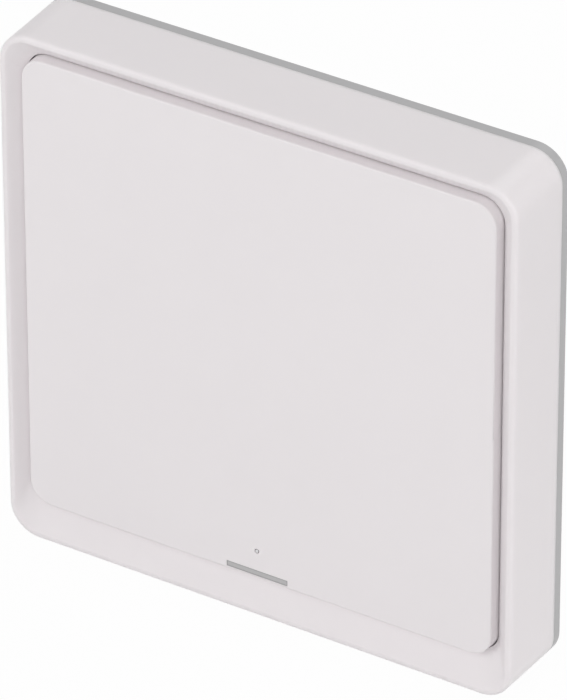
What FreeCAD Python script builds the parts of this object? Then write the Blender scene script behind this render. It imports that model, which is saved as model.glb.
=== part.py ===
import FreeCAD, Part
import math
import os
from FreeCAD import Vector

# Wireless remote wall switch, single paddle, for a square wall box face.
# Units are millimetres. The wall is the plane y = 0, the switch stands out from it towards -Y,
# +Z is up and x = 0 is the middle. A "depth" is a distance out from the wall, so y = -depth.

# Whole switch
face_size = 86.0
corner_radius = 5.0

# Clearances
slip_gap = 0.15
seat_gap = 0.05
pivot_gap = 0.05
shaft_gap = 0.08
paddle_gap = 0.15

# Wall plate
plate_thickness = 1.6
plate_rim_width = 7.5
plate_pocket_depth = 0.5
plate_pocket_radius = 2.0
plate_rib_width = 3.0
wall_screw_spacing = 60.0
wall_screw_hole = 4.2
wall_screw_sink = 7.6
wall_screw_sink_depth = 0.9
wall_screw_boss = 11.0
plate_hook_x = 14.0
plate_hook_inset = 6.0
plate_hook_width = 8.0
plate_hook_stem = 1.2
plate_hook_nose = 0.7
plate_hook_nose_depth = 0.6
plate_hook_lead = 1.0
tape_recess_depth = 0.3
tape_recess_margin = 14.0
tape_recess_height = 20.0
tape_recess_z = 22.0
tape_recess_radius = 2.0

# Housing frame
housing_wall = 1.7
housing_draft = 0.2
ridge_round = 0.55
ridge_inset = 1.15
ridge_inner_round = 0.3
bezel_drop = 2.3
bezel_inset = 3.5
bezel_bottom_inset = 6.3
bezel_thickness = 1.6
catch_offset = 20.0
catch_length = 5.0
catch_reach = 0.9
catch_above_floor = 1.5
catch_height = 1.6
pry_notch_width = 9.0
pry_notch_height = 1.0

# Base tray
tray_floor = 1.2
tray_wall = 1.3
tray_wall_height = 6.4
tray_gusset_offset = 8.0
tray_gusset_size = 3.0
tray_gusset_thickness = 0.9
screw_relief = 10.0
board_post_height = 1.2
board_post_diameter = 4.4

# Pivot at the top of the paddle
pivot_side_inset = 13.0
pivot_below_top = 5.35
pivot_behind_skin = 3.45
pivot_pin = 2.4
pivot_hook_radius = 2.3
pivot_hook_width = 4.0
pivot_hook_mouth = 2.0
pivot_ear_radius = 2.2
pivot_ear_foot = 3.0
pivot_ear_thickness = 1.4
pivot_ear_gap = 0.2

# Stop hooks at the bottom of the paddle
stop_above_bottom = 3.35
stop_width = 4.6
stop_leaf = 1.2
stop_nose = 0.9
stop_nose_height = 0.7
stop_lead = 0.7
stop_behind_skin = 4.35
stop_post_thickness = 1.2
stop_post_side = 1.6
stop_post_bridge = 1.2
stop_window_height = 2.8
stop_gap = 0.2

# Rocker paddle
paddle_recess = 0.35
paddle_skin = 1.8
paddle_skirt = 1.2
paddle_skirt_overlap = 1.2
paddle_radius = 3.6
paddle_draft = 0.1
paddle_edge_round = 0.3
paddle_rib_height = 1.0
paddle_rib_thickness = 0.9
paddle_rib_x = 10.0
paddle_rib_rows = 4
paddle_rib_pitch = 14.0
presser_diameter = 4.2
presser_tip = 3.0
presser_length = 2.1

# Marker bar and indicator window in the paddle
marker_width = 10.4
marker_height = 0.98
marker_thickness = 0.7
marker_recess = 0.06
marker_edge_distance = 0.45
window_hole = 0.82
window_tip = 0.46
window_edge_distance = 4.8
window_stem = 2.0
window_stem_seat = 0.7
window_collar = 3.2
window_collar_thickness = 0.6
window_led_gap = 2.0

# Circuit board
board_hook_clearance = 5.0
board_below_window = 3.25
board_above_holder = 1.75
board_thickness = 1.0
board_radius = 2.0
board_screw_edge = 3.5
board_screw_head = 3.6
board_screw_head_height = 1.2
board_screw_bevel = 0.4
board_screw_shank = 1.9
board_screw_tip_gap = 0.3
board_screw_recess = 0.9
board_screw_recess_depth = 0.7

# Tactile switch
switch_above_window = 11.75
switch_size = 6.2
switch_body = 3.4
switch_flange = 4.2
switch_flange_height = 0.8
plunger_diameter = 3.5
plunger_height = 0.9
plunger_bevel = 0.3
press_travel = 0.5
dome_margin = 0.1
dome_thickness = 0.12
dome_pressed_height = 0.6
cover_thickness = 0.3
cover_leg_width = 2.4
cover_leg_length = 2.2
lead_width = 0.7
lead_pitch = 4.5
lead_thickness = 0.2
lead_reach = 1.5
lead_rise = 1.0

# Coin cell and its holder
cell_above_switch = 26.0
cell_diameter = 20.0
cell_height = 3.2
cell_cap_step = 1.2
cell_cap_height = 0.6
cell_bevel = 0.3
holder_floor = 0.6
holder_wall = 1.1
holder_lip = 0.8
holder_lip_height = 0.45
holder_lip_width = 5.0
holder_shelf = 3.5
holder_loading_gap = 13.0
holder_notch_depth = 2.4
contact_thickness = 0.2
contact_width = 4.0
contact_foot = 2.0
contact_standoff = 0.9
contact_reach = 5.0
contact_bow = 9.0
contact_bow_flat = 5.0

# Radio module
radio_from_switch = 16.0
radio_width = 13.0
radio_height = 16.0
radio_board_thickness = 0.8
radio_pad_radius = 0.4
radio_pad_pitch = 1.5
radio_pad_count = 9
shield_edge = 1.0
shield_length = 10.6
shield_height = 1.8
shield_sheet = 0.2
shield_round = 0.6
shield_vent = 0.8
shield_vent_pitch = 2.0
shield_vent_count = 3
antenna_length = 7.0
antenna_width = 2.0
antenna_height = 1.1

# Small parts on the board
led_width = 1.6
led_length = 0.8
led_height = 0.6
crystal_width = 3.2
crystal_length = 2.5
crystal_height = 0.8
crystal_from_switch = 8.5
crystal_below_switch = 7.0
regulator_from_switch = 16.0
regulator_above_switch = 8.0
regulator_width = 2.9
regulator_length = 1.5
regulator_height = 1.1
regulator_leg_width = 0.4
regulator_leg_reach = 0.6
regulator_leg_pitch = 0.95
capacitor_from_switch = 16.0
capacitor_pitch = 5.0
capacitor_count = 2
capacitor_width = 6.0
capacitor_length = 3.2
capacitor_height = 2.2
capacitor_taper = 0.3
resistor_from_switch = 8.5
resistor_above_switch = 5.0
resistor_width = 1.6
resistor_length = 0.8
resistor_height = 0.45
resistor_pitch = 1.8
resistor_count = 5

# Depths that follow, from the wall to the front
tray_floor_depth = plate_thickness + tray_floor
catch_depth = tray_floor_depth + catch_above_floor
board_back = tray_floor_depth + board_post_height
board_front = board_back + board_thickness
switch_top = board_front + switch_body
plunger_top = switch_top + plunger_height
flange_front = switch_top - cover_thickness - seat_gap
flange_back = flange_front - switch_flange_height
dome_top = flange_back - seat_gap
well_floor = dome_top - press_travel - dome_pressed_height
cell_back = board_front + contact_standoff
cell_front = cell_back + cell_height
paddle_under = plunger_top + seat_gap + presser_length
pivot_depth = paddle_under - pivot_behind_skin
stop_depth = paddle_under - stop_behind_skin
paddle_face = paddle_under + paddle_skin
overall_depth = paddle_face + paddle_recess
bezel_lip_depth = overall_depth - bezel_drop
bezel_under_depth = bezel_lip_depth - bezel_thickness
bezel_slope = bezel_drop / (bezel_inset - ridge_inset)
paddle_back = bezel_lip_depth - paddle_skirt_overlap

# Places that follow, from the paddle's outline, which the running gap holds off the bezel
paddle_inset = bezel_inset + paddle_gap
paddle_bottom_inset = bezel_bottom_inset + paddle_gap
paddle_top_z = face_size / 2 - paddle_inset
paddle_bottom_z = paddle_bottom_inset - face_size / 2
pivot_x = face_size / 2 - pivot_side_inset
pivot_z = paddle_top_z - pivot_below_top
board_width = 2 * (pivot_x - board_hook_clearance)
stop_z = paddle_bottom_z + stop_above_bottom
marker_z = paddle_bottom_z + marker_edge_distance + marker_height / 2
window_z = paddle_bottom_z + window_edge_distance
switch_z = window_z + switch_above_window
cell_z = switch_z + cell_above_switch
holder_inner = cell_diameter + 2 * slip_gap
holder_outer = holder_inner + 2 * holder_wall
board_top_z = cell_z + holder_outer / 2 + board_above_holder
board_bottom_z = window_z - board_below_window
plate_hook_z = face_size / 2 - plate_hook_inset


def rounded_loop(width, height, radius, depth, mid_x=0.0, mid_z=0.0):
    """Closed wire: a rounded rectangle parallel to the wall."""
    across = width / 2 - radius
    up = height / 2 - radius
    corners = ((across, up, 0), (-across, up, 90), (-across, -up, 180), (across, -up, 270))
    arcs = []
    for corner_x, corner_z, start in corners:
        points = []
        for step in (0, 45, 90):
            turn = math.radians(start + step)
            x = mid_x + corner_x + radius * math.cos(turn)
            z = mid_z + corner_z + radius * math.sin(turn)
            points.append(Vector(x, -depth, z))
        arcs.append(Part.Arc(*points).toShape())
    edges = []
    for index, arc in enumerate(arcs):
        following = arcs[(index + 1) % len(arcs)]
        edges.append(arc)
        edges.append(Part.makeLine(arc.Vertexes[-1].Point, following.Vertexes[0].Point))
    return Part.Wire(edges)


def inset_loop(inset, radius, depth, bottom_inset=None):
    """Rounded loop that lies inside the face's outline, with its own bottom margin if wanted."""
    bottom = inset if bottom_inset is None else bottom_inset
    width = face_size - 2 * inset
    height = face_size - inset - bottom
    return rounded_loop(width, height, radius, depth, 0.0, (bottom - inset) / 2)


def slab(loop, thickness):
    """Solid between a loop and a plane this much further from the wall."""
    return Part.Face(loop).extrude(Vector(0, -thickness, 0))


def taper(first_loop, last_loop):
    """Solid lofted straight from one loop to the other."""
    return Part.makeLoft([first_loop, last_loop], True, True)


def block(x, z, width, height, near, far):
    """Box centred on x, z between two depths."""
    return Part.makeBox(width, far - near, height, Vector(x - width / 2, -far, z - height / 2))


def rod(x, z, diameter, near, far):
    """Round bar square to the wall, between two depths."""
    return Part.makeCylinder(diameter / 2, far - near, Vector(x, -near, z), Vector(0, -1, 0))


def cross_rod(x, z, depth, diameter, length):
    """Round bar along X, centred on x."""
    start = Vector(x - length / 2, -depth, z)
    return Part.makeCylinder(diameter / 2, length, start, Vector(1, 0, 0))


def profile_along_x(points, x, width):
    """Outline given as (z, depth) points, drawn out along X and centred on x."""
    start = x - width / 2
    outline = [Vector(start, -depth, z) for z, depth in points]
    outline.append(outline[0])
    return Part.Face(Part.makePolygon(outline)).extrude(Vector(width, 0, 0))


def strip_along_x(points, thickness, x, width):
    """Bent metal strip from one side's (z, depth) points; a thickness below 0 puts it on the other."""
    start = x - width / 2
    line = Part.makePolygon([Vector(start, -depth, z) for z, depth in points])
    return line.makeOffset2D(thickness, join=0, fill=True, openResult=True).extrude(Vector(width, 0, 0))


def edges_at_depth(shape, depth):
    """Edges that lie wholly in one plane parallel to the wall."""
    found = []
    for edge in shape.Edges:
        box = edge.BoundBox
        if abs(box.YMin + depth) < seat_gap and abs(box.YMax + depth) < seat_gap:
            found.append(edge)
    return found


def turned(shape, angle):
    """Copy of a shape turned about the middle of the face."""
    copy = shape.copy()
    copy.rotate(Vector(0, 0, 0), Vector(0, 1, 0), angle)
    return copy


def mirrored(shape):
    """A shape with its mirror image in x."""
    return [shape, shape.mirror(Vector(0, 0, 0), Vector(1, 0, 0))]


def fused(first, others):
    """One solid from a body and what is moulded onto it."""
    return first.multiFuse(others).removeSplitter()


def plate_hook(side):
    """Snap hook on the wall plate that reaches through the tray floor; side is 1 or -1."""
    inner = plate_hook_z - plate_hook_stem / 2
    outer = plate_hook_z + plate_hook_stem / 2
    nose = outer + plate_hook_nose
    seat = tray_floor_depth + seat_gap
    shoulder = seat + plate_hook_nose_depth
    tip = shoulder + plate_hook_lead
    root = plate_thickness / 2
    points = (
        (inner, root), (inner, tip), (outer, tip),
        (nose, shoulder), (nose, seat), (outer, seat), (outer, root),
    )
    points = [(side * z, depth) for z, depth in points]
    return profile_along_x(points, plate_hook_x, plate_hook_width)


def make_wall_plate():
    """Back plate: recesses for fixing tape behind, pockets and ribs in front, four snap hooks."""
    plate = slab(inset_loop(0, corner_radius, 0), plate_thickness)
    pocket_start = plate_thickness - plate_pocket_depth
    pocket = slab(inset_loop(plate_rim_width, plate_pocket_radius, pocket_start), plate_pocket_depth)
    islands = [
        block(0, 0, face_size, plate_rib_width, pocket_start, plate_thickness),
        block(0, 0, plate_rib_width, face_size, pocket_start, plate_thickness),
    ]
    holes = []
    for side in (-1, 1):
        x = side * wall_screw_spacing / 2
        islands.append(rod(x, 0, wall_screw_boss, pocket_start, plate_thickness))
        holes.append(rod(x, 0, wall_screw_hole, 0, plate_thickness))
        sink_start = plate_thickness - wall_screw_sink_depth
        holes.append(Part.makeCone(
            wall_screw_hole / 2, wall_screw_sink / 2, wall_screw_sink_depth,
            Vector(x, -sink_start, 0), Vector(0, -1, 0)))
        tape = rounded_loop(
            face_size - 2 * tape_recess_margin, tape_recess_height, tape_recess_radius, 0,
            0, side * tape_recess_z)
        holes.append(slab(tape, tape_recess_depth))
    plate = plate.cut(pocket.cut(islands))
    hooks = mirrored(plate_hook(1)) + mirrored(plate_hook(-1))
    return fused(plate, hooks).cut(holes)


def housing_catch(gap=0.0):
    """Ramped catch on the inside of the housing wall; with a gap, the window that takes it."""
    wall_z = face_size / 2 - housing_wall
    back = catch_depth - gap
    front = catch_depth + catch_height + gap
    reach = catch_reach
    ramp = catch_height / 2
    if gap:
        reach = slip_gap + tray_wall + gap
        ramp = 0.0
    root = wall_z + housing_wall / 2
    points = (
        (root, back), (wall_z, back), (wall_z - reach, back + ramp),
        (wall_z - reach, front), (root, front),
    )
    return profile_along_x(points, catch_offset, catch_length + 2 * gap)


def around_the_wall(shape):
    """Both mirror images of a shape on each of the four sides."""
    copies = []
    for angle in (0, 90, 180, 270):
        copies += [turned(copy, angle) for copy in mirrored(shape)]
    return copies


def make_housing_frame():
    """White outer frame: drafted walls, rounded ridge and a bezel that slopes in to the paddle."""
    inner_radius = corner_radius - housing_wall
    bezel_radius = paddle_radius + paddle_gap
    front = inset_loop(housing_draft, corner_radius, overall_depth)
    body = taper(inset_loop(0, corner_radius, plate_thickness), front)
    body = body.makeFillet(ridge_round, edges_at_depth(body, overall_depth))
    mouth = taper(
        inset_loop(bezel_inset, bezel_radius, bezel_lip_depth, bezel_bottom_inset),
        inset_loop(ridge_inset, corner_radius - ridge_inset, overall_depth))
    body = body.cut(mouth)
    ridge_edges = []
    inner_reach = face_size / 2 - ridge_round - housing_draft
    for edge in edges_at_depth(body, overall_depth):
        box = edge.BoundBox
        if max(box.XMax, box.ZMax, -box.XMin, -box.ZMin) < inner_reach:
            ridge_edges.append(edge)
    body = body.makeFillet(ridge_inner_round, ridge_edges)
    opening = slab(
        inset_loop(bezel_inset, bezel_radius, plate_thickness, bezel_bottom_inset),
        bezel_lip_depth - plate_thickness)
    roof_depth = bezel_under_depth + bezel_slope * (bezel_inset - housing_wall)
    cavity = slab(
        inset_loop(housing_wall, inner_radius, plate_thickness), roof_depth - plate_thickness)
    roof = taper(
        inset_loop(bezel_inset, bezel_radius, bezel_under_depth, bezel_bottom_inset),
        inset_loop(housing_wall, inner_radius, roof_depth))
    body = body.cut(cavity.cut(roof)).cut(opening)
    notch = block(
        0, -face_size / 2, pry_notch_width, 2 * housing_wall, plate_thickness,
        plate_thickness + pry_notch_height)
    return fused(body, around_the_wall(housing_catch())).cut(notch)


def pivot_ear(x):
    """Upright ear with a round top, tapering to its foot on the tray floor."""
    foot = pivot_ear_foot
    points = (
        (pivot_z - foot, plate_thickness), (pivot_z - pivot_ear_radius, pivot_depth),
        (pivot_z + pivot_ear_radius, pivot_depth), (pivot_z + foot, plate_thickness),
    )
    ear = profile_along_x(points, x, pivot_ear_thickness)
    return ear.fuse(cross_rod(x, pivot_z, pivot_depth, 2 * pivot_ear_radius, pivot_ear_thickness))


def pivot_support():
    """Pair of ears with the moulded pin between them."""
    reach = pivot_hook_width / 2 + pivot_ear_gap + pivot_ear_thickness / 2
    pin = cross_rod(pivot_x, pivot_z, pivot_depth, pivot_pin, 2 * reach)
    return [pivot_ear(pivot_x - reach), pivot_ear(pivot_x + reach), pin]


def stop_post():
    """Upright on the tray with a window whose top edge holds the paddle's stop hook."""
    near_face = stop_z - stop_gap
    middle = near_face - stop_post_thickness / 2
    width = stop_width + 2 * stop_gap
    top = stop_depth + seat_gap
    post = block(
        pivot_x, middle, width + 2 * stop_post_side, stop_post_thickness,
        plate_thickness, top + stop_post_bridge)
    window = block(
        pivot_x, middle, width, stop_post_thickness, top - stop_window_height, top)
    return post.cut(window)


def tray_gusset():
    """Triangular rib between the tray's wall and its floor."""
    wall_face = face_size / 2 - housing_wall - slip_gap - tray_wall
    root = wall_face + tray_wall / 2
    points = (
        (root, tray_floor_depth), (wall_face - tray_gusset_size, tray_floor_depth),
        (wall_face, tray_floor_depth + tray_gusset_size), (root, tray_floor_depth + tray_gusset_size),
    )
    return profile_along_x(points, tray_gusset_offset, tray_gusset_thickness)


def board_screw_places():
    """The four screw positions, in from the board's corners."""
    x = board_width / 2 - board_screw_edge
    return [
        (side * x, z)
        for z in (board_bottom_z + board_screw_edge, board_top_z - board_screw_edge)
        for side in (-1, 1)
    ]


def make_base_tray():
    """Inner chassis: shallow tray with board posts, pivot ears, stop posts and slots."""
    outer_inset = housing_wall + slip_gap
    outer_radius = corner_radius - outer_inset
    tray = slab(inset_loop(outer_inset, outer_radius, plate_thickness), tray_floor + tray_wall_height)
    inner_inset = outer_inset + tray_wall
    hollow = slab(
        inset_loop(inner_inset, outer_radius - tray_wall, tray_floor_depth), tray_wall_height)
    tray = tray.cut(hollow)
    details = around_the_wall(tray_gusset())
    for piece in pivot_support() + [stop_post()]:
        details += mirrored(piece)
    for x, z in board_screw_places():
        details.append(rod(x, z, board_post_diameter, plate_thickness, board_back))
    tray = fused(tray, details)
    cuts = around_the_wall(housing_catch(slip_gap))
    slot_width = plate_hook_width + 2 * slip_gap
    slot_height = plate_hook_stem + plate_hook_nose + 2 * slip_gap
    for side in (-1, 1):
        screw_x = side * wall_screw_spacing / 2
        cuts.append(rod(screw_x, 0, screw_relief, plate_thickness, tray_floor_depth))
        slot_z = side * (plate_hook_z + plate_hook_nose / 2)
        slot = block(plate_hook_x, slot_z, slot_width, slot_height, plate_thickness, tray_floor_depth)
        cuts += mirrored(slot)
    for x, z in board_screw_places():
        pilot = board_screw_shank + 2 * seat_gap
        cuts.append(rod(x, z, pilot, plate_thickness, board_back))
    return tray.cut(cuts)


def make_circuit_board():
    """Main board: rounded rectangle with four screw holes."""
    height = board_top_z - board_bottom_z
    middle = (board_top_z + board_bottom_z) / 2
    outline = rounded_loop(board_width, height, board_radius, board_back, 0, middle)
    board = slab(outline, board_thickness)
    hole = board_screw_shank + 2 * slip_gap
    return board.cut([rod(x, z, hole, board_back, board_front) for x, z in board_screw_places()])


def board_screw(x, z):
    """Pan-head screw with a cross recess, head down on the board."""
    shank = rod(x, z, board_screw_shank, plate_thickness + board_screw_tip_gap, board_front)
    head_top = board_front + board_screw_head_height
    head = rod(x, z, board_screw_head, board_front, head_top)
    head = head.makeChamfer(board_screw_bevel, edges_at_depth(head, head_top))
    recess_floor = head_top - board_screw_recess_depth
    arm = board_screw_head - board_screw_recess
    slots = [
        block(x, z, arm, board_screw_recess / 2, recess_floor, head_top),
        block(x, z, board_screw_recess / 2, arm, recess_floor, head_top),
    ]
    return shank.fuse(head).removeSplitter().cut(slots)


def make_board_screws():
    """The four board screws, as separate solids."""
    return Part.makeCompound([board_screw(x, z) for x, z in board_screw_places()])


def pivot_hook():
    """Paddle rib that ends in a snap-on eye, open towards the wall."""
    body = block(
        pivot_x, pivot_z, pivot_hook_width, 2 * pivot_hook_radius, pivot_depth, paddle_under + seat_gap)
    eye = cross_rod(pivot_x, pivot_z, pivot_depth, 2 * pivot_hook_radius, pivot_hook_width)
    bore = cross_rod(pivot_x, pivot_z, pivot_depth, pivot_pin + 2 * pivot_gap, pivot_hook_width)
    mouth_back = pivot_depth - pivot_hook_radius
    mouth = block(pivot_x, pivot_z, pivot_hook_width, pivot_hook_mouth, mouth_back, pivot_depth)
    return body.fuse(eye).cut([bore, mouth])


def stop_hook():
    """Paddle leaf with a nose that catches under the stop post's bridge."""
    inner = stop_z + stop_leaf
    nose = stop_z - stop_nose
    shoulder = stop_depth - stop_nose_height
    tip = shoulder - stop_lead
    root = paddle_under + seat_gap
    points = (
        (inner, root), (inner, tip), (stop_z, tip),
        (nose, shoulder), (nose, stop_depth), (stop_z, stop_depth), (stop_z, root),
    )
    return profile_along_x(points, pivot_x, stop_width)


def paddle_ribs():
    """Crossed stiffening ribs behind the paddle's skin, inside its skirt."""
    back = paddle_under - paddle_rib_height
    root = paddle_skirt / 2
    outline = inset_loop(paddle_inset + root, paddle_radius, back, paddle_bottom_inset + root)
    field = slab(outline, paddle_rib_height + seat_gap)
    ribs = []
    for row in range(paddle_rib_rows):
        z = switch_z + row * paddle_rib_pitch
        ribs.append(block(0, z, face_size, paddle_rib_thickness, back, paddle_face))
    for x in (paddle_rib_x, pivot_x):
        ribs += mirrored(block(x, 0, paddle_rib_thickness, face_size, back, paddle_face))
    return [rib.common(field) for rib in ribs]


def presser():
    """Boss behind the paddle that bears on the switch plunger."""
    tip = plunger_top + seat_gap
    boss = rod(0, switch_z, presser_diameter, tip, paddle_under + seat_gap)
    chamfer = (presser_diameter - presser_tip) / 2
    return boss.makeChamfer(chamfer, edges_at_depth(boss, tip))


def make_rocker_paddle():
    """The large key: hollow and ribbed behind, with hooks, presser and pockets for its inlays."""
    back_loop = inset_loop(paddle_inset, paddle_radius, paddle_back, paddle_bottom_inset)
    face_loop = inset_loop(
        paddle_inset + paddle_draft, paddle_radius, paddle_face, paddle_bottom_inset + paddle_draft)
    paddle = taper(back_loop, face_loop)
    paddle = paddle.makeFillet(paddle_edge_round, edges_at_depth(paddle, paddle_face))
    hollow = slab(
        inset_loop(
            paddle_inset + paddle_skirt, paddle_radius - paddle_skirt, paddle_back,
            paddle_bottom_inset + paddle_skirt),
        paddle_under - paddle_back)
    details = paddle_ribs() + [presser()]
    details += mirrored(pivot_hook()) + mirrored(stop_hook())
    paddle = fused(paddle.cut(hollow), details)
    pocket = block(
        0, marker_z, marker_width, marker_height, paddle_face - marker_thickness, paddle_face)
    seat = paddle_face - window_stem_seat
    light_hole = rod(0, window_z, window_hole, seat, paddle_face)
    stem_hole = rod(0, window_z, window_stem, paddle_under, seat)
    return paddle.cut([pocket, light_hole, stem_hole])


def make_marker_bar():
    """Grey bar set in the pocket in the paddle's face, a hair below it."""
    back = paddle_face - marker_thickness
    return block(0, marker_z, marker_width, marker_height, back, paddle_face - marker_recess)


def make_indicator_window():
    """Stepped clear light pipe, glued behind the paddle by its collar."""
    seat = paddle_face - window_stem_seat
    collar_back = paddle_under - window_collar_thickness
    tip = rod(0, window_z, window_tip, seat, paddle_face)
    stem = rod(0, window_z, window_stem, paddle_under, seat)
    collar = rod(0, window_z, window_collar, collar_back, paddle_under)
    tail = rod(0, window_z, window_stem, board_front + led_height + window_led_gap, collar_back)
    return fused(tip, [stem, collar, tail])


def make_switch_base():
    """Moulded body of the tactile switch, with the round well that guides the plunger."""
    body_top = switch_top - cover_thickness
    outline = rounded_loop(switch_size, switch_size, cover_thickness, board_front, 0, switch_z)
    body = slab(outline, body_top - board_front)
    well = rod(0, switch_z, switch_flange + 2 * shaft_gap, well_floor, body_top)
    return body.cut(well)


def make_switch_dome():
    """Snap dome: a thin spherical cap that clicks and lifts the plunger again."""
    rise = dome_top - well_floor
    rim = switch_flange / 2 - dome_margin
    radius = (rim * rim + rise * rise) / (2 * rise)
    centre = Vector(0, radius - dome_top, switch_z)
    outer = Part.makeSphere(radius, centre)
    inner = Part.makeSphere(radius - dome_thickness, centre)
    above_floor = rod(0, switch_z, 2 * radius, well_floor, dome_top)
    return outer.cut(inner).common(above_floor)


def make_switch_plunger():
    """Plunger: a flange held under the cover and a stem that stands out of it."""
    flange = rod(0, switch_z, switch_flange, flange_back, flange_front)
    stem = rod(0, switch_z, plunger_diameter, flange_front, plunger_top)
    stem = stem.makeChamfer(plunger_bevel, edges_at_depth(stem, plunger_top))
    return fused(flange, [stem])


def make_switch_cover():
    """Pressed steel cover with the plunger's hole and two legs folded down the sides."""
    width = switch_size + 2 * cover_thickness
    lid = block(0, switch_z, width, switch_size, switch_top - cover_thickness, switch_top)
    leg_x = (switch_size + cover_thickness) / 2
    leg = block(
        leg_x, switch_z, cover_thickness, cover_leg_width, switch_top - cover_leg_length, switch_top)
    hole = rod(
        0, switch_z, plunger_diameter + 2 * shaft_gap, switch_top - cover_thickness, switch_top)
    return fused(lid, mirrored(leg)).cut(hole)


def make_switch_leads():
    """Four soldered leads, bent up the switch's sides."""
    leads = []
    for side in (-1, 1):
        face = switch_z + side * switch_size / 2
        foot = face + side * lead_reach
        inner = face + side * lead_thickness
        points = (
            (face, board_front), (foot, board_front), (foot, board_front + lead_thickness),
            (inner, board_front + lead_thickness), (inner, board_front + lead_rise),
            (face, board_front + lead_rise),
        )
        leads += mirrored(profile_along_x(points, lead_pitch / 2, lead_width))
    return Part.makeCompound(leads)


def make_coin_cell():
    """Sealed button cell: wide can in front, narrower cap towards the board."""
    cap_diameter = cell_diameter - 2 * cell_cap_step
    cap = rod(0, cell_z, cap_diameter, cell_back, cell_back + cell_cap_height)
    cap = cap.makeChamfer(cell_bevel, edges_at_depth(cap, cell_back))
    can = rod(0, cell_z, cell_diameter, cell_back + cell_cap_height, cell_front)
    can = can.makeChamfer(cell_bevel, edges_at_depth(can, cell_front))
    return fused(cap, [can])


def make_cell_holder():
    """Round holder open at the top for loading, with lips over the cell's rim."""
    lip_back = cell_front + seat_gap
    top = lip_back + holder_lip_height
    floor_top = board_front + holder_floor
    holder = rod(0, cell_z, holder_outer, board_front, top)
    holder = holder.cut(rod(0, cell_z, holder_inner, floor_top, top))
    rim = rod(0, cell_z, holder_outer, lip_back, top)
    rim = rim.cut(rod(0, cell_z, cell_diameter - 2 * holder_lip, lip_back, top))
    lips = []
    for angle in (0, 135, 225):
        place = block(cell_diameter / 2, 0, cell_diameter, holder_lip_width, lip_back, top)
        place.rotate(Vector(0, 0, 0), Vector(0, -1, 0), angle)
        place.translate(Vector(0, 0, cell_z))
        lips.append(rim.common(place))
    left_lip = lips[0].mirror(Vector(0, 0, 0), Vector(1, 0, 0))
    holder = fused(holder, lips + [left_lip])
    well = rod(0, cell_z, cell_diameter - 2 * holder_shelf, board_front, floor_top)
    loading = block(
        0, cell_z + cell_diameter / 2, holder_loading_gap, cell_diameter / 2, floor_top, top)
    notch = block(
        0, cell_z - cell_diameter / 2, contact_width + 2 * slip_gap, cell_diameter / 2,
        cell_front - holder_notch_depth, top)
    return holder.cut([well, loading, notch])


def make_positive_contact():
    """Bent strip from the board over the holder's wall onto the front of the cell."""
    riser = cell_z - holder_outer / 2 - contact_thickness - slip_gap
    crest = cell_front + 2 * contact_thickness
    points = (
        (riser - contact_foot, board_front), (riser, board_front), (riser, crest),
        (riser + contact_reach, crest), (riser + 2 * contact_reach, cell_front),
    )
    return strip_along_x(points, -contact_thickness, 0, contact_width)


def make_negative_contact():
    """Bowed strip under the cell, its two ends sprung up against the cap."""
    low = board_front + contact_thickness
    points = (
        (cell_z - contact_bow / 2, cell_back), (cell_z - contact_bow_flat / 2, low),
        (cell_z + contact_bow_flat / 2, low), (cell_z + contact_bow / 2, cell_back),
    )
    return strip_along_x(points, contact_thickness, 0, contact_width)


def make_radio_board():
    """Radio module's own board, with half-round solder pads down both sides."""
    top = board_front + radio_board_thickness
    board = block(radio_from_switch, switch_z, radio_width, radio_height, board_front, top)
    first = switch_z - radio_pad_pitch * (radio_pad_count - 1) / 2
    pads = []
    for index in range(radio_pad_count):
        z = first + index * radio_pad_pitch
        for side in (-1, 1):
            x = radio_from_switch + side * radio_width / 2
            pads.append(rod(x, z, 2 * radio_pad_radius, board_front, top))
    return board.cut(pads)


def make_radio_shield():
    """Drawn tin can over the radio chip, with a square grid of vent holes."""
    base = board_front + radio_board_thickness
    top = base + shield_height
    middle = switch_z + (radio_height - shield_length) / 2 - shield_edge
    width = radio_width - 2 * shield_edge
    outline = rounded_loop(width, shield_length, shield_round, base, radio_from_switch, middle)
    can = slab(outline, shield_height)
    can = can.makeChamfer(shield_sheet, edges_at_depth(can, top))
    inner_width = width - 2 * shield_sheet
    inner_length = shield_length - 2 * shield_sheet
    inner_radius = shield_round - shield_sheet
    hollow = slab(
        rounded_loop(inner_width, inner_length, inner_radius, base, radio_from_switch, middle),
        shield_height - shield_sheet)
    vents = []
    start = -shield_vent_pitch * (shield_vent_count - 1) / 2
    for column in range(shield_vent_count):
        for row in range(shield_vent_count):
            x = radio_from_switch + start + column * shield_vent_pitch
            z = middle + start + row * shield_vent_pitch
            vents.append(rod(x, z, shield_vent, top - shield_sheet, top))
    return can.cut([hollow] + vents)


def make_chip_antenna():
    """Ceramic aerial on the module's free end."""
    base = board_front + radio_board_thickness
    z = switch_z - radio_height / 2 + antenna_width
    return block(radio_from_switch, z, antenna_length, antenna_width, base, base + antenna_height)


def make_clock_crystal():
    """Small metal-lidded crystal."""
    loop = rounded_loop(
        crystal_width, crystal_length, crystal_height / 2, board_front,
        -crystal_from_switch, switch_z - crystal_below_switch)
    return slab(loop, crystal_height)


def make_indicator_led():
    """Surface lamp under the light pipe."""
    return block(0, window_z, led_width, led_length, board_front, board_front + led_height)


def make_regulator_chip():
    """Three-legged regulator: moulded body with its legs."""
    middle = switch_z + regulator_above_switch
    body = block(
        -regulator_from_switch, middle, regulator_width, regulator_length,
        board_front, board_front + regulator_height)
    legs = []
    for x_step, side in ((-1, -1), (1, -1), (0, 1)):
        x = -regulator_from_switch + x_step * regulator_leg_pitch
        z = middle + side * (regulator_length + regulator_leg_reach) / 2
        legs.append(block(
            x, z, regulator_leg_width, regulator_leg_reach, board_front, board_front + lead_thickness))
    return fused(body, legs)


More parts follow.
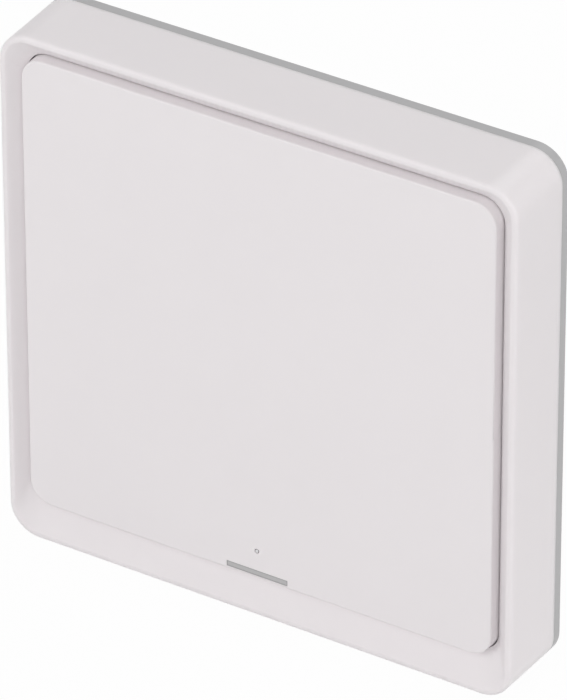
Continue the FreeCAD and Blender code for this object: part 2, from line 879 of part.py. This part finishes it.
def make_supply_capacitors():
    """Moulded capacitors with tapered sides, in a row."""
    parts = []
    for index in range(capacitor_count):
        z = switch_z - index * capacitor_pitch
        base = rounded_loop(
            capacitor_width, capacitor_length, capacitor_taper, board_front, -capacitor_from_switch, z)
        top = rounded_loop(
            capacitor_width - 2 * capacitor_taper, capacitor_length - 2 * capacitor_taper,
            capacitor_taper, board_front + capacitor_height, -capacitor_from_switch, z)
        parts.append(taper(base, top))
    return Part.makeCompound(parts)


def make_chip_resistors():
    """Row of chip resistors beside the switch."""
    parts = []
    for index in range(resistor_count):
        z = switch_z + resistor_above_switch - index * resistor_pitch
        top = board_front + resistor_height
        parts.append(block(
            -resistor_from_switch, z, resistor_width, resistor_length, board_front, top))
    return Part.makeCompound(parts)


nodes = {
    "wall_plate": make_wall_plate,
    "base_tray": make_base_tray,
    "housing_frame": make_housing_frame,
    "circuit_board": make_circuit_board,
    "board_screws": make_board_screws,
    "rocker_paddle": make_rocker_paddle,
    "marker_bar": make_marker_bar,
    "indicator_window": make_indicator_window,
    "switch_base": make_switch_base,
    "switch_dome": make_switch_dome,
    "switch_plunger": make_switch_plunger,
    "switch_cover": make_switch_cover,
    "switch_leads": make_switch_leads,
    "coin_cell": make_coin_cell,
    "cell_holder": make_cell_holder,
    "positive_contact": make_positive_contact,
    "negative_contact": make_negative_contact,
    "radio_board": make_radio_board,
    "radio_shield": make_radio_shield,
    "chip_antenna": make_chip_antenna,
    "clock_crystal": make_clock_crystal,
    "indicator_led": make_indicator_led,
    "regulator_chip": make_regulator_chip,
    "supply_capacitors": make_supply_capacitors,
    "chip_resistors": make_chip_resistors,
}

os.makedirs("parts", exist_ok=True)
for name, make in nodes.items():
    shape = make()
    shape.exportStep("parts/" + name + ".step")
    count = len(shape.Solids)
    print(f"{name}: {count} solids, {shape.Volume:.2f} mm3, valid {shape.isValid()}")
print(f"plunger lever {pivot_z - switch_z:.1f} mm, travel {press_travel:.2f} mm")
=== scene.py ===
import math

import bmesh
import bpy
from mathutils import Matrix, Vector


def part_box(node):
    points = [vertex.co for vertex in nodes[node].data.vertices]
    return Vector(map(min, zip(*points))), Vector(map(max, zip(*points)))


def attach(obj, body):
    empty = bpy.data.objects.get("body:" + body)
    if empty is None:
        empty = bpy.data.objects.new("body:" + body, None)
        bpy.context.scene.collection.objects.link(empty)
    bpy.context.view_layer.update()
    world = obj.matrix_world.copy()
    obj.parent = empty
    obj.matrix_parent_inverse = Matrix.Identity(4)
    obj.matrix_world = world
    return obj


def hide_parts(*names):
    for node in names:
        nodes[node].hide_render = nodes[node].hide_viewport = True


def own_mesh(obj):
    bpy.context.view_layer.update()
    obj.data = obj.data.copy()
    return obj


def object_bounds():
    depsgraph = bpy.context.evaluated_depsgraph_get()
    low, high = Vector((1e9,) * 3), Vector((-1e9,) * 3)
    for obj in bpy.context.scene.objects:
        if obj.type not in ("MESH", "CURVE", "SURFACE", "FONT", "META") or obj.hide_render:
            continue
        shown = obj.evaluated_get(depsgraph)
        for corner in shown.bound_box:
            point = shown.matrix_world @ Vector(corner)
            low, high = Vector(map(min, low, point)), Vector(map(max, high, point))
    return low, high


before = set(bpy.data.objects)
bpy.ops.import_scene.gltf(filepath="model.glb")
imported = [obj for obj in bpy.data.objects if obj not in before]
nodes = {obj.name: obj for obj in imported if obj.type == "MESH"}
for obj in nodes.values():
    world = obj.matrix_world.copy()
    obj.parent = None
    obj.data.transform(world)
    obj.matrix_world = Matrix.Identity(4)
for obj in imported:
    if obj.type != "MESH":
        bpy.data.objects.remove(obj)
cad_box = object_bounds()


# Wall plate. The grey back plate that is screwed or taped to the wall, moulded in a fine-textured
# plastic. Four snap hooks on its front hold the tray. Its edge is the thin grey line at the back.
class Paint:
    """A socket in a material's node tree, so that shader maths reads as plain Python."""

    def __init__(self, tree, socket):
        self.tree = tree
        self.socket = socket

    def node(self, kind, settings, inputs, output=0):
        """Add a node: its settings first, then the values or links of its sockets."""
        made = self.tree.nodes.new("ShaderNode" + kind)
        for name, value in settings.items():
            setattr(made, name, value)
        for name, value in inputs.items():
            if isinstance(value, Paint):
                self.tree.links.new(value.socket, made.inputs[name])
            else:
                made.inputs[name].default_value = value
        return Paint(self.tree, made.outputs[output])

    def math(self, operation, *others):
        """Add a Math node that starts from this value."""
        return self.node("Math", {"operation": operation}, dict(enumerate((self, *others))))

    def __add__(self, other):
        return self.math("ADD", other)

    def __sub__(self, other):
        return self.math("SUBTRACT", other)

    def __rsub__(self, other):
        return self.node("Math", {"operation": "SUBTRACT"}, {0: other, 1: self})

    def __mul__(self, other):
        return self.math("MULTIPLY", other)

    __radd__ = __add__
    __rmul__ = __mul__

    def __lt__(self, other):
        return self.math("LESS_THAN", other)

    def __gt__(self, other):
        return self.math("GREATER_THAN", other)

    def size(self):
        """This value without its sign."""
        return self.math("ABSOLUTE")

    def most(self, other):
        return self.math("MAXIMUM", other)

    def radius(self, other):
        """Distance from the point where this value and the other are both 0."""
        return (self * self + other * other).math("SQRT")

    def lane(self, pitch):
        """Distance to the nearest of the lines that lie this far apart."""
        return self.math("PINGPONG", pitch / 2)

    def split(self):
        """The three parts of a vector."""
        parts = self.node("SeparateXYZ", {}, {0: self}).socket.node.outputs
        return [Paint(self.tree, part) for part in parts]

    def stretched(self, *factors):
        """A vector with each part multiplied, which draws noise out into streaks."""
        return self.node("VectorMath", {"operation": "MULTIPLY"}, {0: self, 1: factors})

    def noise(self, scale, detail=2.0, roughness=0.5):
        """Soft noise from 0 to 1; scale counts its lumps to the metre."""
        return self.node("TexNoise", {}, {
            "Vector": self, "Scale": scale, "Detail": detail, "Roughness": roughness})

    def mix(self, first, second):
        """First colour where this mask is 0, second where it is 1."""
        return self.node("Mix", {"data_type": "RGBA"}, {0: self, 6: first, 7: second}, 2)

    def bump(self, depth, strength=1.0):
        """Normal from a height of 0 to 1 that stands for this depth in metres."""
        return self.node("Bump", {}, {"Strength": strength, "Distance": depth, "Height": self})


def rgba(red, green, blue):
    """A colour with full alpha."""
    return (red, green, blue, 1.0)


def tones(shade, darker, lighter):
    """The deepest and the lightest tone of a shade, for noise to wander between."""
    return rgba(*(darker * part for part in shade)), rgba(*(lighter * part for part in shade))


class Finish:
    """A material: constant values on its shader's own sockets, and a place to read patterns at."""

    def __init__(self, name, **constants):
        self.material = bpy.data.materials.new(name)
        self.material.use_nodes = True
        tree = self.material.node_tree
        self.shader = tree.nodes["Principled BSDF"]
        for constant, value in constants.items():
            self.shader.inputs[constant.replace("_", " ")].default_value = value
        self.place = Paint(tree, tree.nodes.new("ShaderNodeTexCoord").outputs["Object"])

    def away_from(self, point):
        """X, Y and Z measured from a point."""
        return [part - start for part, start in zip(self.place.split(), point)]

    def vary(self, **sockets):
        """Link what changes over the surface to the shader's sockets."""
        for name, paint in sockets.items():
            self.place.tree.links.new(paint.socket, self.shader.inputs[name.replace("_", " ")])
        return self

    def put_on(self, *names):
        """Give this finish to CAD nodes."""
        for name in names:
            for slot in nodes[name].material_slots:
                slot.material = self.material


def moulded(name, shade, roughness=0.42, grain_depth=6e-6):
    """Plastic from a finely eroded mould: an even colour, a slight cloudiness and a fine grain."""
    finish = Finish(name, IOR=1.5)
    cloud = finish.place.noise(55.0, 3.0)
    drift = finish.place.noise(9.0, 1.0)
    grain = finish.place.noise(5200.0, 2.0, 0.65)
    tone = (cloud * 0.6 + drift * 0.4).mix(*tones(shade, 0.972, 1.012))
    return finish.vary(
        Base_Color=tone,
        Roughness=roughness - 0.03 + cloud * 0.06 + grain * 0.05,
        Normal=grain.bump(grain_depth))


grey_shade = (0.450, 0.446, 0.452)
moulded("grey_moulded_plastic", grey_shade).put_on("wall_plate")


# Base tray. The inner chassis of plain plastic, with posts, pivot ears and catch windows moulded
# on. It clips on the plate's hooks and carries the board, the pivot pins and the stop posts.
moulded("tray_moulded_plastic", (0.62, 0.62, 0.615), 0.5).put_on("base_tray")


# Circuit board. Glass-fibre laminate under green solder mask, with copper tracks under the mask and
# a tinned ring round each screw hole. It lies on the tray's four posts, its cut edge left bare.
board_low, board_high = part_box("circuit_board")
board_middle = (board_low + board_high) / 2
board_half = (board_high - board_low) / 2
screw_from_edge = 0.0035
ring_radius = 0.0023
track_pitch = 0.0016
track_half_width = 0.00013
cut_edge_share = 0.96
level_share = 0.52
tinned = rgba(0.70, 0.70, 0.68)

board = Finish("green_circuit_board", IOR=1.52)
across, outward, upward = board.away_from(board_middle)
to_screw_x = across.size() - (board_half.x - screw_from_edge)
to_screw_z = upward.size() - (board_half.z - screw_from_edge)
tinned_ring = to_screw_x.radius(to_screw_z) < ring_radius
upright_track = across.lane(track_pitch) < track_half_width
level_track = upward.lane(track_pitch) < track_half_width
upright_patch = board.place.noise(130.0, 0.0) > level_share
track = upright_track * upright_patch + level_track * (1 - upright_patch)
cut_edge = (outward.size() < cut_edge_share * board_half.y) * (1 - tinned_ring)
mask_cloud = board.place.noise(300.0)
mask_green = mask_cloud.mix(rgba(0.010, 0.095, 0.040), rgba(0.014, 0.120, 0.050))
over_track = track.mix(mask_green, rgba(0.022, 0.190, 0.075))
with_ring = tinned_ring.mix(over_track, tinned)
weave = board.place.noise(2600.0, 1.0).mix(rgba(0.40, 0.34, 0.17), rgba(0.52, 0.46, 0.26))
board.vary(
    Base_Color=cut_edge.mix(with_ring, weave),
    Metallic=tinned_ring,
    Roughness=0.28 + mask_cloud * 0.08 + cut_edge * 0.35,
    Normal=track.bump(2.5e-5, 0.6))
board.put_on("circuit_board")


# Board screws. Four zinc-plated pan heads with a cross recess, driven into the tray's posts.
# The plating is bright with a faint yellow bloom and fine turning marks round each head.
turning_rate = 42000.0

zinc = Finish("zinc_plated_steel", Metallic=1.0)
to_head_x = zinc.place.split()[0].size() - (board_half.x - screw_from_edge)
to_head_z = zinc.away_from(board_middle)[2].size() - (board_half.z - screw_from_edge)
head_radius = to_head_x.radius(to_head_z)
turning = (head_radius * turning_rate).math("SINE") * 0.5 + 0.5
bloom = zinc.place.noise(420.0, 2.0)
zinc.vary(
    Base_Color=bloom.mix(rgba(0.56, 0.57, 0.58), rgba(0.66, 0.64, 0.56)),
    Roughness=0.26 + bloom * 0.12 + turning * 0.05)
zinc.put_on("board_screws")


# Tactile switch. A glass-filled black body and round button, a stainless snap dome in the well, a
# pressed steel cover that holds the button in, and silvered leads soldered to the board.
def sheet_metal(name, shade, roughness, streaks=(1.0, 1.0, 30.0)):
    """Rolled or plated sheet: streaks along the way it was rolled, and a soft tarnish."""
    finish = Finish(name, Metallic=1.0)
    rolled = finish.place.stretched(*streaks).noise(420.0, 3.0, 0.6)
    tarnish = finish.place.noise(260.0, 3.0)
    return finish.vary(
        Base_Color=tarnish.mix(*tones(shade, 0.86, 1.04)),
        Roughness=roughness - 0.06 + rolled * 0.14 + tarnish * 0.06,
        Normal=rolled.bump(1.5e-6))


def black_moulding(name, shade, roughness):
    """Black plastic with the pale flecks and flow marks of its glass fibre."""
    finish = Finish(name, IOR=1.5)
    fibre = finish.place.stretched(1.0, 1.0, 6.0).noise(2400.0, 2.0, 0.6)
    flow = finish.place.noise(180.0, 2.0)
    return finish.vary(
        Base_Color=(fibre * flow).mix(*tones(shade, 0.7, 1.7)),
        Roughness=roughness + fibre * 0.12,
        Normal=fibre.bump(4e-6))


nylon_black = (0.024, 0.024, 0.025)
button_black = (0.030, 0.030, 0.031)
cover_steel = (0.64, 0.64, 0.65)
across_roll = (30.0, 1.0, 1.0)
black_moulding("glass_filled_nylon", nylon_black, 0.48).put_on("switch_base", "cell_holder")
black_moulding("button_plastic", button_black, 0.30).put_on("switch_plunger")
sheet_metal("pressed_steel_cover", cover_steel, 0.30, across_roll).put_on("switch_cover")
sheet_metal("silvered_leads", (0.74, 0.73, 0.70), 0.34).put_on("switch_leads")

# The dome is a merged, smoothed copy of its CAD shape that moves with the switch housing.
sharp_angle = math.radians(35)
merge_distance = 1e-7
snap = bmesh.new()
snap.from_mesh(nodes["switch_dome"].data)
bmesh.ops.remove_doubles(snap, verts=snap.verts, dist=merge_distance)
for face in snap.faces:
    face.smooth = True
for edge in snap.edges:
    edge.smooth = edge.calc_face_angle(0.0) < sharp_angle
dome_mesh = bpy.data.meshes.new("snap_dome")
snap.to_mesh(dome_mesh)
snap.free()
dome_mesh.materials.append(
    sheet_metal("spring_steel_dome", (0.66, 0.65, 0.63), 0.24).material)
snap_dome = bpy.data.objects.new("snap_dome", dome_mesh)
bpy.context.scene.collection.objects.link(snap_dome)
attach(snap_dome, "switch_housing")
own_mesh(snap_dome)
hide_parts("switch_dome")

lead_low, lead_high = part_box("switch_leads")
board_face = board_low.y
joint_radius = 0.00075
joint_height = 0.00042
joint_sink = 0.00004
joint_inset = 0.00035
joints_mesh = bpy.data.meshes.new("solder_joints")
joints = bmesh.new()
for joint_x in (lead_low.x, lead_high.x):
    for joint_z in (lead_low.z, lead_high.z):
        inward_x = -math.copysign(joint_inset, joint_x)
        blob = bmesh.ops.create_uvsphere(joints, u_segments=24, v_segments=12, radius=1.0)["verts"]
        bmesh.ops.scale(joints, verts=blob, vec=(joint_radius, joint_height, joint_radius))
        bmesh.ops.translate(
            joints, verts=blob, vec=(joint_x + inward_x, board_face - joint_sink, joint_z))
bmesh.ops.bisect_plane(
    joints, geom=joints.verts[:] + joints.edges[:] + joints.faces[:], dist=merge_distance,
    plane_co=(0.0, board_face, 0.0), plane_no=(0.0, 1.0, 0.0), clear_outer=True)
bmesh.ops.holes_fill(joints, edges=[edge for edge in joints.edges if edge.is_boundary], sides=0)
bmesh.ops.recalc_face_normals(joints, faces=joints.faces)
for face in joints.faces:
    flat_foot = len(face.verts) > 4
    face.smooth = not flat_foot
joints.to_mesh(joints_mesh)
joints.free()
solder_joints = bpy.data.objects.new("solder_joints", joints_mesh)
bpy.context.scene.collection.objects.link(solder_joints)
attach(solder_joints, "switch_housing")

solder = Finish("tin_solder", Metallic=1.0)
frost = solder.place.noise(3200.0, 3.0, 0.6)
solder.vary(
    Base_Color=frost.mix(rgba(0.58, 0.58, 0.57), rgba(0.74, 0.74, 0.73)),
    Roughness=0.22 + frost * 0.22,
    Normal=frost.bump(5e-6))
joints_mesh.materials.append(solder.material)


# Coin cell, its holder and contacts. A nickel-plated steel can with turned rings and a pressed plus
# sign, sealed by a dark gasket behind. It slides in from the top between two plated spring strips.
cell_low, cell_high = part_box("coin_cell")
cell_middle = (cell_low + cell_high) / 2
cell_half = (cell_high - cell_low) / 2
plus_arm = 0.0021
plus_half_width = 0.00024
ring_pitch = 0.00009
gasket_inner = 0.0084
gasket_outer = 0.0089
cap_back = 0.0007

cell = Finish("nickel_plated_cell", Metallic=1.0)
across, outward, upward = cell.away_from(cell_middle)
from_axis = across.radius(upward)
rings = from_axis.lane(ring_pitch) * (2.0 / ring_pitch)
level_arm = (across.size() < plus_arm) * (upward.size() < plus_half_width)
upright_arm = (upward.size() < plus_arm) * (across.size() < plus_half_width)
plus_sign = level_arm.most(upright_arm) * (outward < 0.0)
gasket = (
    (from_axis > gasket_inner) * (from_axis < gasket_outer) * (outward > cell_half.y - cap_back))
handled = cell.place.noise(170.0, 3.0)
bright = handled.mix(rgba(0.60, 0.59, 0.57), rgba(0.72, 0.71, 0.69))
marked = plus_sign.mix(bright, rgba(0.40, 0.39, 0.38))
cell.vary(
    Base_Color=gasket.mix(marked, rgba(0.03, 0.03, 0.03)),
    Metallic=1 - gasket,
    Roughness=0.20 + rings * 0.08 + handled * 0.10 + gasket * 0.3,
    Normal=(rings * 0.05 + (1 - plus_sign)).bump(5e-5, 0.5))
cell.put_on("coin_cell")
contacts = sheet_metal("plated_contacts", (0.72, 0.70, 0.64), 0.26)
contacts.put_on("positive_contact", "negative_contact")


# Radio module. A small board with gilded half-round pads down both sides, soldered on the main one.
# It carries a tinned steel can over the chip and a fired ceramic aerial with silvered ends.
radio_low, radio_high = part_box("radio_board")
radio_middle = (radio_low + radio_high) / 2
radio_half = (radio_high - radio_low) / 2
pad_pitch = 0.0015
pad_half_width = 0.00052
pad_length = 0.00095
pads_a_side = 9

radio = Finish("blue_module_board", IOR=1.52)
across, _, upward = radio.away_from(radio_middle)
pad_row = (upward.lane(pad_pitch) < pad_half_width) * (
    upward.size() < pads_a_side / 2 * pad_pitch)
gilded = pad_row * (across.size() > radio_half.x - pad_length)
mask_cloud = radio.place.noise(500.0)
mask_blue = mask_cloud.mix(rgba(0.008, 0.030, 0.090), rgba(0.012, 0.040, 0.120))
radio.vary(
    Base_Color=gilded.mix(mask_blue, rgba(0.78, 0.58, 0.25)),
    Metallic=gilded,
    Roughness=0.26 + mask_cloud * 0.10)
radio.put_on("radio_board")
sheet_metal("tinned_steel_can", (0.68, 0.68, 0.67), 0.30).put_on("radio_shield")


aerial_low, aerial_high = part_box("chip_antenna")
aerial_end = 0.0006

aerial = Finish("aerial_ceramic", IOR=1.55)
across = aerial.away_from((aerial_low + aerial_high) / 2)[0]
silvered = across.size() > (aerial_high.x - aerial_low.x) / 2 - aerial_end
speckle = aerial.place.noise(2200.0, 2.0)
aerial_fired = speckle.mix(*tones((0.62, 0.64, 0.60), 0.86, 1.12))
aerial.vary(
    Base_Color=silvered.mix(aerial_fired, tinned),
    Metallic=silvered,
    Roughness=0.47 + speckle * 0.16)
aerial.put_on("chip_antenna")


# Small parts on the board: a crystal under a metal lid, the indicator's lamp, a regulator with
# three legs, two moulded capacitors and a row of resistors, all soldered flat on the board's front.
crystal_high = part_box("clock_crystal")[1]
crystal_base = 0.00034
crystal = Finish("crystal_lid")
crystal_depth = crystal.away_from(crystal_high)[1]
ceramic_base = crystal_depth > -crystal_base
lapped = crystal.place.stretched(30.0, 1.0, 1.0).noise(500.0, 3.0)
crystal.vary(
    Base_Color=ceramic_base.mix(
        lapped.mix(rgba(0.66, 0.65, 0.62), rgba(0.76, 0.75, 0.72)), rgba(0.20, 0.17, 0.13)),
    Metallic=1 - ceramic_base,
    Roughness=0.24 + lapped * 0.10 + ceramic_base * 0.30)
crystal.put_on("clock_crystal")

led_low, led_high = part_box("indicator_led")
led_half_lens = 0.00042
led_end = 0.00022
led = Finish("lamp_chip", IOR=1.53)
led_across = led.away_from((led_low + led_high) / 2)[0]
led_lens = led_across.size() < led_half_lens
led_ends = led_across.size() > (led_high.x - led_low.x) / 2 - led_end
led_speckle = led.place.noise(3000.0, 1.0)
led_body = led_speckle.mix(rgba(0.70, 0.70, 0.68), rgba(0.78, 0.78, 0.76))
led_front = led_lens.mix(led_body, rgba(0.82, 0.70, 0.24))
led.vary(
    Base_Color=led_ends.mix(led_front, rgba(0.72, 0.71, 0.68)),
    Metallic=led_ends,
    Roughness=0.42 - led_lens * 0.22 + led_speckle * 0.08)
led.put_on("indicator_led")

regulator_low, regulator_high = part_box("regulator_chip")
regulator_half_body = 0.00076
regulator = Finish("regulator_resin", IOR=1.55)
regulator_upward = regulator.away_from((regulator_low + regulator_high) / 2)[2]
legs = regulator_upward.size() > regulator_half_body
eroded = regulator.place.noise(3800.0, 2.0, 0.6)
regulator.vary(
    Base_Color=legs.mix(
        eroded.mix(rgba(0.018, 0.018, 0.019), rgba(0.034, 0.034, 0.035)), tinned),
    Metallic=legs,
    Roughness=0.52 + eroded * 0.12 - legs * 0.24,
    Normal=eroded.bump(4e-6))
regulator.put_on("regulator_chip")

capacitor_low, capacitor_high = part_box("supply_capacitors")
band_start, band_end, terminal_start = 0.0014, 0.0024, 0.00275
resin = Finish("capacitor_resin", IOR=1.55)
across, outward, _ = resin.away_from((capacitor_low + capacitor_high) / 2)
polarity_band = (across > band_start) * (across < band_end) * (outward < 0.0)
terminals = across.size() > terminal_start
resin_grain = resin.place.noise(2600.0, 2.0, 0.6)
amber = resin_grain.mix(rgba(0.60, 0.34, 0.05), rgba(0.72, 0.44, 0.08))
banded = polarity_band.mix(amber, rgba(0.20, 0.07, 0.02))
resin.vary(
    Base_Color=terminals.mix(banded, tinned),
    Metallic=terminals,
    Roughness=0.42 + resin_grain * 0.14,
    Normal=resin_grain.bump(4e-6))
resin.put_on("supply_capacitors")

resistor_low, resistor_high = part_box("chip_resistors")
film_depth = 0.00008
end_cap_length = 0.00030
film = Finish("resistor_ceramic", IOR=1.55)
row_front = Vector(((resistor_low.x + resistor_high.x) / 2, resistor_low.y, 0.0))
across, outward, _ = film.away_from(row_front)
end_caps = across.size() > (resistor_high.x - resistor_low.x) / 2 - end_cap_length
top_film = (outward < film_depth) * (1 - end_caps)
fired_grain = film.place.noise(2600.0, 2.0)
white_core = fired_grain.mix(rgba(0.66, 0.66, 0.64), rgba(0.78, 0.78, 0.76))
filmed = top_film.mix(white_core, rgba(0.022, 0.022, 0.024))
film.vary(
    Base_Color=end_caps.mix(filmed, tinned),
    Metallic=end_caps,
    Roughness=0.50 - end_caps * 0.18 + fired_grain * 0.10)
film.put_on("chip_resistors")


# Housing frame and rocker paddle. Both are moulded in the same warm white plastic with a fine satin
# grain. The frame clips over the tray; the paddle snaps on the pivot pins and fills the opening.
# The frame's thin walls let a little light through, which softens its slopes and lifts its ridge.
white_shade = (0.843, 0.807, 0.820)
glow_share = 0.6
glow_depth = 0.0008
moulded("white_paddle_plastic", white_shade).put_on("rocker_paddle")
frame_plastic = moulded("white_frame_plastic", white_shade)
frame_plastic.shader.inputs["Subsurface Weight"].default_value = glow_share
frame_plastic.shader.inputs["Subsurface Scale"].default_value = glow_depth
frame_plastic.shader.inputs["Subsurface Radius"].default_value = (1.0, 1.0, 1.0)
frame_plastic.put_on("housing_frame")


# Marker bar. A grey inlay of the plate's plastic, glued in a pocket at the paddle's lower edge.
# A darker line of painted shade runs round its rim, standing in for the shade its edges cast where
# they meet the white.
bar_low, bar_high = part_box("marker_bar")
bar_middle = (bar_low + bar_high) / 2
bar_half = (bar_high - bar_low) / 2
edge_shade_width = 0.00020
bar_shade = (0.490, 0.483, 0.488)
edge_shade_color = [0.72 * part for part in bar_shade]

inlay = Finish("grey_inlay_plastic", IOR=1.5)
across, _, upward = inlay.away_from(bar_middle)
# Painted shade: a darker band along the bar's edges, in place of the shadow a recess would cast.
painted_edge_shade = (upward.size() > bar_half.z - edge_shade_width).most(across.size() > bar_half.x - edge_shade_width)
brushed = inlay.place.stretched(1.0, 1.0, 24.0).noise(500.0, 2.0)
bar_tone = brushed.mix(*tones(bar_shade, 0.93, 1.03))
inlay.vary(
    Base_Color=painted_edge_shade.mix(bar_tone, rgba(*edge_shade_color)),
    Roughness=0.40 + brushed * 0.08)
inlay.put_on("marker_bar")


# Indicator window. The end of a milky light pipe, pushed into the paddle from behind.
# A fine open ring is left round its tip, which the photograph shows as a thin dark circle.
pipe = Finish("milky_light_pipe", IOR=1.49, Roughness=0.15)
pipe_cloud = pipe.place.noise(900.0, 2.0)
pipe.vary(Base_Color=pipe_cloud.mix(rgba(0.74, 0.74, 0.75), rgba(0.80, 0.80, 0.81)))
pipe.put_on("indicator_window")


# Studio. A pale floor under the switch, a soft even room and wide soft lamps: two low in front, one
# high in front, one at the right side and one above the back. Floor and room are white to the
# camera and in gloss, but light the switch at a plain level.
def seen_directly(tree):
    """1 for rays from the camera and rays in gloss or glass, 0 for light on the object."""
    rays = tree.nodes.new("ShaderNodeLightPath").outputs
    camera_ray, gloss_ray, glass_ray = (
        Paint(tree, rays[f"Is {kind} Ray"]) for kind in ("Camera", "Glossy", "Transmission"))
    return camera_ray.most(gloss_ray).most(glass_ray)


floor_reach = 3.0
floor_glow = 0.97
floor_mesh = bpy.data.meshes.new("floor")
level = bmesh.new()
bmesh.ops.create_grid(level, x_segments=1, y_segments=1, size=floor_reach)
bmesh.ops.translate(level, verts=level.verts, vec=(0.0, 0.0, cad_box[0].z))
level.to_mesh(floor_mesh)
level.free()
floor = bpy.data.objects.new("floor", floor_mesh)
bpy.context.scene.collection.objects.link(floor)

floor_paint = Finish("pale_floor", Roughness=0.9)
floor_cloud = floor_paint.place.noise(3.0)
floor_paint.vary(Base_Color=floor_cloud.mix(rgba(0.80, 0.80, 0.80), rgba(0.82, 0.82, 0.82)))
floor_tree = floor_paint.place.tree
glow = floor_tree.nodes.new("ShaderNodeEmission")
glow.inputs["Strength"].default_value = 1.0
floor_blend = floor_tree.nodes.new("ShaderNodeMixShader")
floor_tree.links.new((seen_directly(floor_tree) * floor_glow).socket, floor_blend.inputs[0])
floor_tree.links.new(floor_paint.shader.outputs[0], floor_blend.inputs[1])
floor_tree.links.new(glow.outputs[0], floor_blend.inputs[2])
floor_tree.links.new(
    floor_blend.outputs[0], floor_tree.nodes["Material Output"].inputs["Surface"])
floor_mesh.materials.append(floor_paint.material)

room_light = 0.40
room = bpy.data.worlds.new("studio")
bpy.context.scene.world = room
room.use_nodes = True
backdrop = room.node_tree.nodes["Background"]
backdrop.inputs["Color"].default_value = rgba(1.0, 1.0, 1.0)
room_strength = room_light + seen_directly(room.node_tree) * (1.0 - room_light)
room.node_tree.links.new(room_strength.socket, backdrop.inputs["Strength"])

lamp_distance = 1.3
lamp_size = 0.7


def lamp(name, around, above, watts):
    """Square soft lamp that faces the switch from degrees around to the right and degrees above."""
    turn, lift = math.radians(around), math.radians(above)
    light = bpy.data.lights.new(name, "AREA")
    light.shape = "SQUARE"
    light.size = lamp_size
    light.energy = watts
    stand = bpy.data.objects.new(name, light)
    stand.location = lamp_distance * Vector((
        math.sin(turn) * math.cos(lift), -math.cos(turn) * math.cos(lift), math.sin(lift)))
    stand.rotation_euler = (-stand.location).to_track_quat("-Z", "Y").to_euler()
    bpy.context.scene.collection.objects.link(stand)


lamp("left_lamp", -30, 22, 3.88)
lamp("right_lamp", 35, 25, 3.25)
lamp("top_lamp", 0, 50, 1.58)
lamp("side_lamp", 100, 15, 4.0)
lamp("back_lamp", 180, 55, 3.25)


# Camera. A long lens from above and to the right, at the photograph's angle, with the whole face
# in the frame and no shift.
azimuth, elevation, roll = (math.radians(angle) for angle in (31.956, 32.873, -0.131))
camera_distance = 1.15
focal_length = 414.3
film_width = 36.0
aim = Vector((0.001344, -0.008, 0.000442))
back = Vector((
    math.sin(azimuth) * math.cos(elevation), -math.cos(azimuth) * math.cos(elevation),
    math.sin(elevation)))
right = Vector((math.cos(azimuth), math.sin(azimuth), 0.0))
up = back.cross(right)
rolled_right = math.cos(roll) * right + math.sin(roll) * up
rolled_up = math.cos(roll) * up - math.sin(roll) * right
lens = bpy.data.cameras.new("camera")
lens.sensor_width = film_width
lens.lens = focal_length
lens.clip_start = 0.01
camera = bpy.data.objects.new("camera", lens)
camera.matrix_world = (
    Matrix.Translation(aim + back * camera_distance)
    @ Matrix((rolled_right, rolled_up, back)).transposed().to_4x4())
bpy.context.scene.collection.objects.link(camera)
bpy.context.scene.camera = camera
bpy.context.scene.view_settings.view_transform = "Standard"

bpy.context.view_layer.update()
